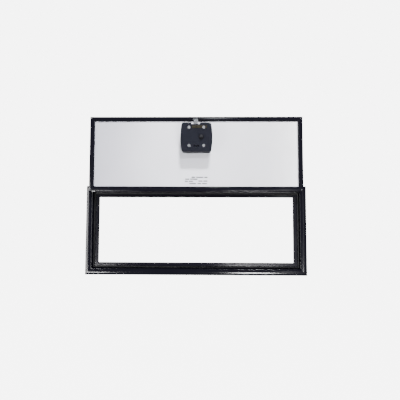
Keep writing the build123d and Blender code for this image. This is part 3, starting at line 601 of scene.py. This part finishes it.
class SASH_OT_gear_train(bpy.types.Operator):
    """Spindle, idler, bushes, spring and guides inside the box"""
    bl_idname = "sash.gear_train"
    bl_label = "Gear train"

    def execute(self, context):
        broken_edges("spindle", "Spindle", SPINDLE_ROUND,
                     plated_steel("Oxide-blacked spindle", "#4A4B50", 0.5, "#36373A", 0.8))
        paint_node("idler_gear", plated_steel("Greased gear steel", "#8A8680", 0.3, "#5E5A54"))
        paint_node("idler_axle", bpy.data.materials["Greased gear steel"])
        broken_edges("spindle_bush_front", "SpindleBush", BUSH_ROUND,
                     spark_textured_nylon("Black nylon bush", "#08080A"))
        paint_node("spindle_bush_rear", plated_steel("Sintered bronze", "#9C7A4A", 0.5, "#6E5534"))
        paint_node("brake_spring", plated_steel("Drawn spring wire", "#77787B", 0.3, "#55565A"))
        white = acetal("Moulded acetal")
        paint_node("rack_guide_upper", white)
        paint_node("rack_guide_side", white)
        paint_node("guide_rivets", bpy.data.materials["Pressed aluminium rivets"])
        return {"FINISHED"}


class SASH_OT_stage(bpy.types.Operator):
    """Pale sweep, soft lamps and the camera"""
    bl_idname = "sash.stage"
    bl_label = "Stage"

    def execute(self, context):
        _, _, stage = settings()
        floor_z = CAD_LOW.z - stage.floor_drop
        bpy.ops.object.select_all(action="DESELECT")
        bpy.ops.mesh.primitive_plane_add(size=SWEEP_DEPTH, location=(0.0, SWEEP_MIDDLE, floor_z))
        sweep = bpy.context.object
        sweep.name = "Sweep"
        sweep.scale = (SWEEP_STRETCH, 1.0, 1.0)
        bpy.ops.object.transform_apply(location=True, scale=True)
        bpy.ops.object.mode_set(mode="EDIT")
        bpy.ops.mesh.select_all(action="DESELECT")
        bpy.ops.object.mode_set(mode="OBJECT")
        for edge in sweep.data.edges:
            edge.select = all(sweep.data.vertices[v].co.y > SWEEP_MIDDLE for v in edge.vertices)
        bpy.ops.object.mode_set(mode="EDIT")
        bpy.ops.mesh.select_mode(type="EDGE")
        bpy.ops.mesh.extrude_region_move(TRANSFORM_OT_translate={"value": (0.0, 0.0, SWEEP_RISE)})
        bpy.ops.object.mode_set(mode="OBJECT")
        bevel = sweep.modifiers.new("Cove", "BEVEL")
        bevel.width = COVE_WIDTH
        bevel.segments = COVE_STEPS
        bpy.ops.object.modifier_apply(modifier=bevel.name)
        bpy.ops.object.shade_smooth()
        paint(sweep, backlit_paper("White backlit paper", stage.paper_glow))
        # the glowing paper is seen directly, but throws no glare on the black coat
        sweep.visible_glossy = False
        sweep.visible_diffuse = False

        world = bpy.data.worlds.new("Studio")
        context.scene.world = world
        world.use_nodes = True
        back = world.node_tree.nodes["Background"]
        back.inputs["Color"].default_value = ROOM_TINT
        back.inputs["Strength"].default_value = stage.room_light

        for name, power, wide, high, at, aim, mirrored in LAMPS:
            data = bpy.data.lights.new(name, "AREA")
            data.shape = "RECTANGLE"
            data.size, data.size_y = wide, high
            data.energy = power
            lamp = bpy.data.objects.new(name, data)
            context.scene.collection.objects.link(lamp)
            lamp.visible_glossy = mirrored
            lamp.visible_camera = False
            lamp.visible_transmission = False
            lamp.location = at
            lamp.rotation_mode = "QUATERNION"
            lamp.rotation_quaternion = (Vector(aim) - Vector(at)).to_track_quat("-Z", "Y")

        data = bpy.data.cameras.new("Camera")
        camera = bpy.data.objects.new("Camera", data)
        context.scene.collection.objects.link(camera)
        context.scene.camera = camera
        data.lens = stage.lens
        data.sensor_width = SENSOR_WIDTH
        data.shift_x, data.shift_y = LENS_SHIFT
        data.clip_start = 0.01
        data.clip_end = 60.0
        level = cos(stage.pitch)
        sight = Vector((sin(stage.yaw) * level, cos(stage.yaw) * level, sin(stage.pitch)))
        camera.location = stage.camera_at
        camera.rotation_mode = "QUATERNION"
        camera.rotation_quaternion = sight.to_track_quat("-Z", "Y")
        camera.rotation_quaternion.rotate(Matrix.Rotation(stage.roll, 3, sight).to_quaternion())
        return {"FINISHED"}


class SASH_PT_panel(bpy.types.Panel):
    """Lists the pieces and the stage"""
    bl_idname = "SASH_PT_panel"
    bl_label = "Window Sash"
    bl_space_type = "VIEW_3D"
    bl_region_type = "UI"
    bl_category = "Window Sash"

    def draw(self, context):
        for group in (context.scene.sash_finishes, context.scene.sash_sizes, context.scene.sash_stage):
            for key in group.bl_rna.properties.keys():
                if key not in ("rna_type", "name"):
                    self.layout.prop(group, key)
        for piece in PIECES:
            self.layout.operator(piece.bl_idname)


PIECES = (SASH_OT_wall_frame, SASH_OT_hinge, SASH_OT_sash_rails, SASH_OT_glass, SASH_OT_bracket,
          SASH_OT_operator_box, SASH_OT_gear_train, SASH_OT_stage)
GROUPS = (SashFinishes, SashSizes, StageSettings)


def register():
    for item in GROUPS + PIECES + (SASH_PT_panel,):
        bpy.utils.register_class(item)
    bpy.types.Scene.sash_finishes = PointerProperty(type=SashFinishes)
    bpy.types.Scene.sash_sizes = PointerProperty(type=SashSizes)
    bpy.types.Scene.sash_stage = PointerProperty(type=StageSettings)


def unregister():
    del bpy.types.Scene.sash_stage
    del bpy.types.Scene.sash_sizes
    del bpy.types.Scene.sash_finishes
    for item in reversed(GROUPS + PIECES + (SASH_PT_panel,)):
        bpy.utils.unregister_class(item)


def main():
    register()
    for piece in PIECES:
        group, name = piece.bl_idname.split(".")
        getattr(getattr(bpy.ops, group), name)()


if __name__ == "__main__":
    main()
